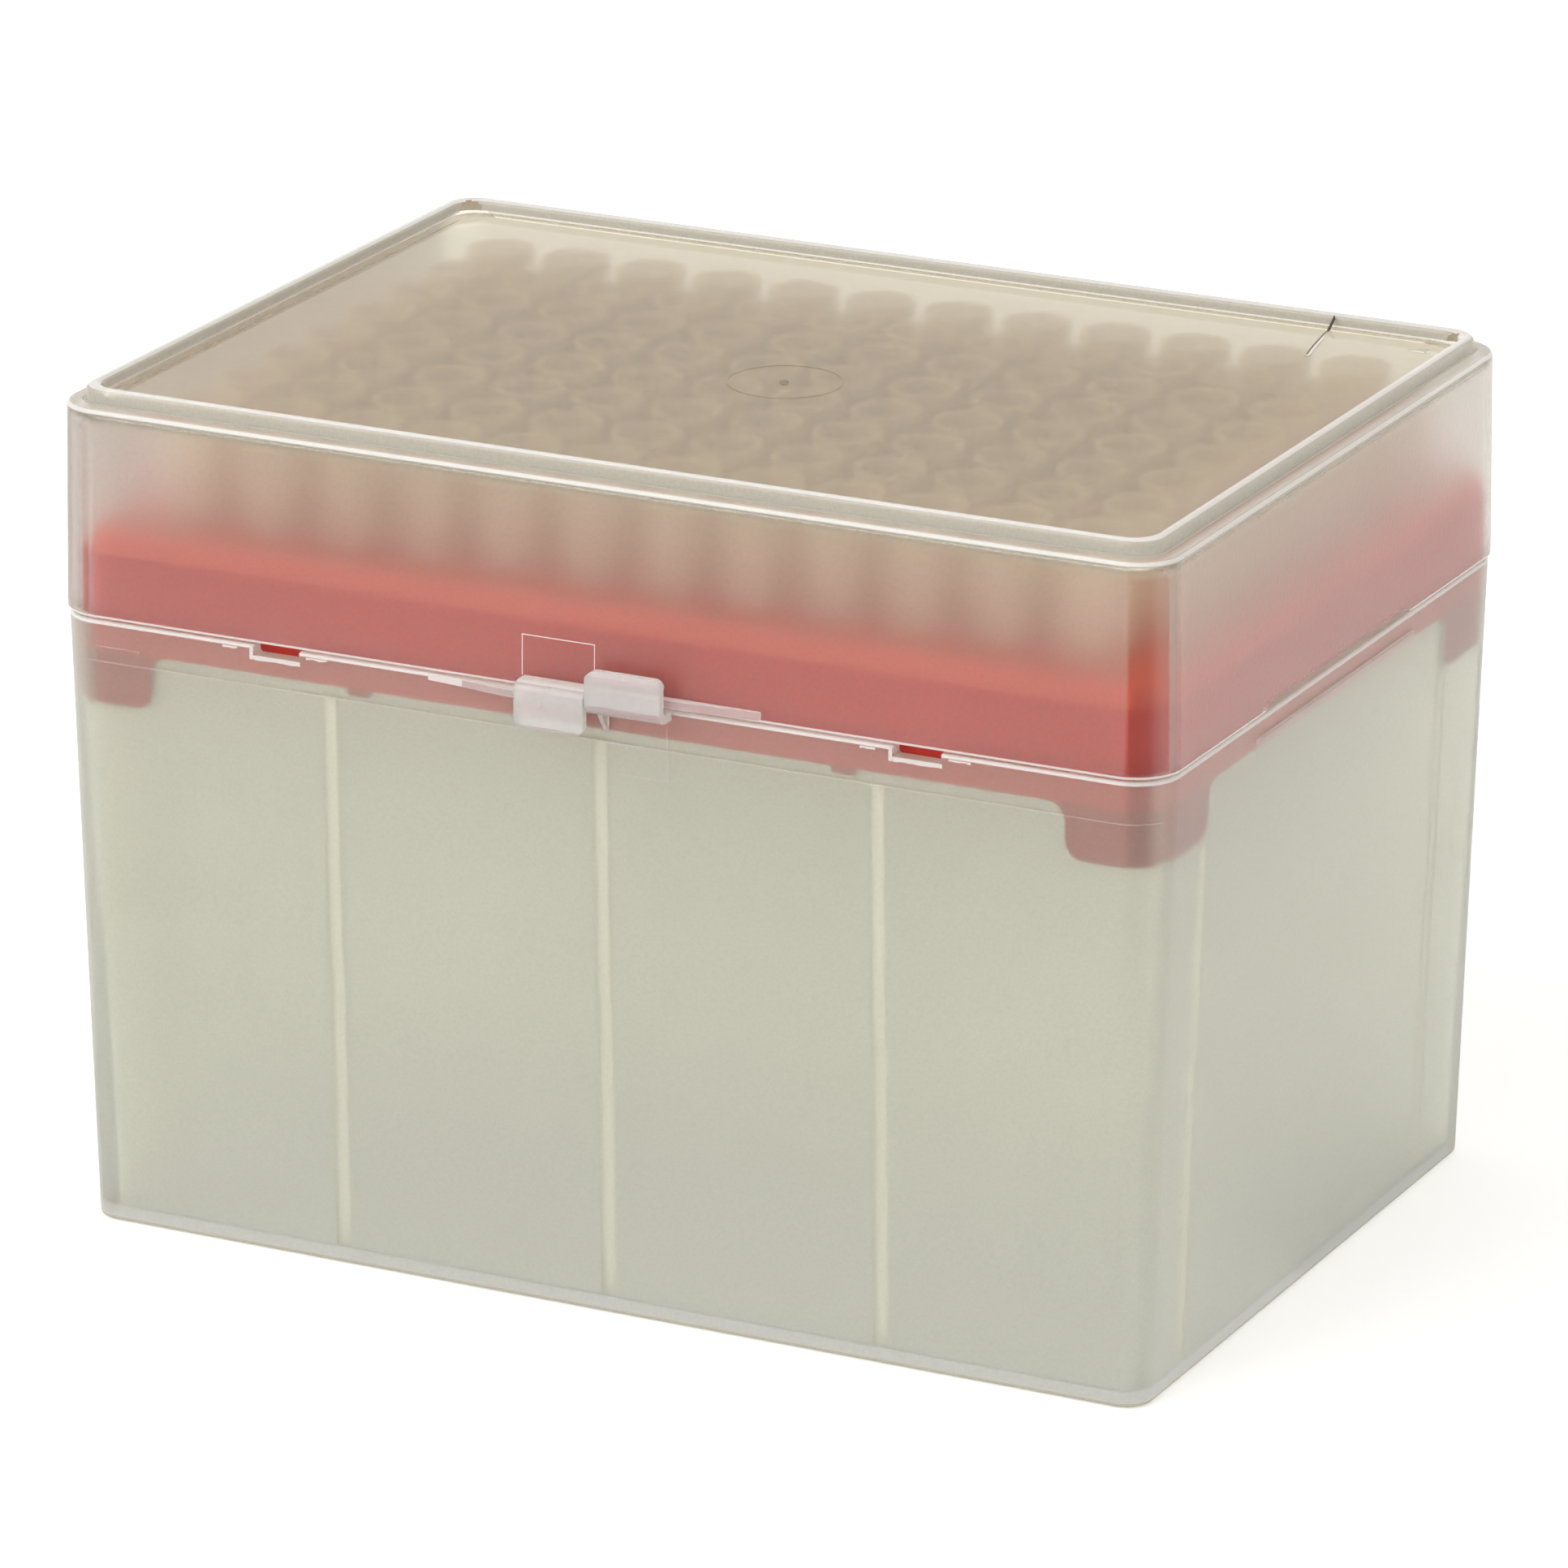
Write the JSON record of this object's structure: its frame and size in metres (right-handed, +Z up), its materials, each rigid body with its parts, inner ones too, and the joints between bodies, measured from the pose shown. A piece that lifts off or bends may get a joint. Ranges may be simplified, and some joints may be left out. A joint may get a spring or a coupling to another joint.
{
  "type": "pipette tip box",
  "caption": "Hinged translucent box with a red rack that holds long filter pipette tips upright in a grid, closed by a snap latch.",
  "frame": {"origin": "middle of the flat underside of the tub, where the box rests", "axes": "+X along the long side, +Z up, the latch faces -Y and the hinge is at +Y"},
  "size_m": [0.1238, 0.0943, 0.0896],
  "materials": {
    "tub_plastic": "translucent frosted polypropylene, satin",
    "lid_plastic": "translucent polypropylene, frosted walls and a clearer glossy top panel",
    "rack_plastic": "opaque red polypropylene, satin",
    "tip_plastic": "clear natural polypropylene"
  },
  "bodies": {
    "base": {"tub": "tub_plastic", "rack": "rack_plastic", "rack_deck": "rack_plastic", "tip_a01": "tip_plastic", "tip_a02": "tip_plastic", "tip_a03": "tip_plastic", "tip_a04": "tip_plastic", "tip_a05": "tip_plastic", "tip_a06": "tip_plastic", "tip_a07": "tip_plastic", "tip_a08": "tip_plastic", "tip_a09": "tip_plastic", "tip_a10": "tip_plastic", "tip_a11": "tip_plastic", "tip_a12": "tip_plastic", "tip_b01": "tip_plastic", "tip_b12": "tip_plastic", "tip_c01": "tip_plastic", "tip_c12": "tip_plastic", "tip_d01": "tip_plastic", "tip_d12": "tip_plastic", "tip_e01": "tip_plastic", "tip_e12": "tip_plastic", "tip_f01": "tip_plastic", "tip_f12": "tip_plastic", "tip_g01": "tip_plastic", "tip_g12": "tip_plastic", "tip_h01": "tip_plastic", "tip_h02": "tip_plastic", "tip_h03": "tip_plastic", "tip_h04": "tip_plastic", "tip_h05": "tip_plastic", "tip_h06": "tip_plastic", "tip_h07": "tip_plastic", "tip_h08": "tip_plastic", "tip_h09": "tip_plastic", "tip_h10": "tip_plastic", "tip_h11": "tip_plastic", "tip_h12": "tip_plastic"},
    "lid": {"lid": "lid_plastic"}
  },
  "joints": [
    {"name": "lid_hinge", "type": "hinge", "parent": "base", "child": "lid", "pos_m": [0, 0.0461, 0.0661], "axis": [-1, 0, 0], "range_deg": [0, 110]}
  ]
}
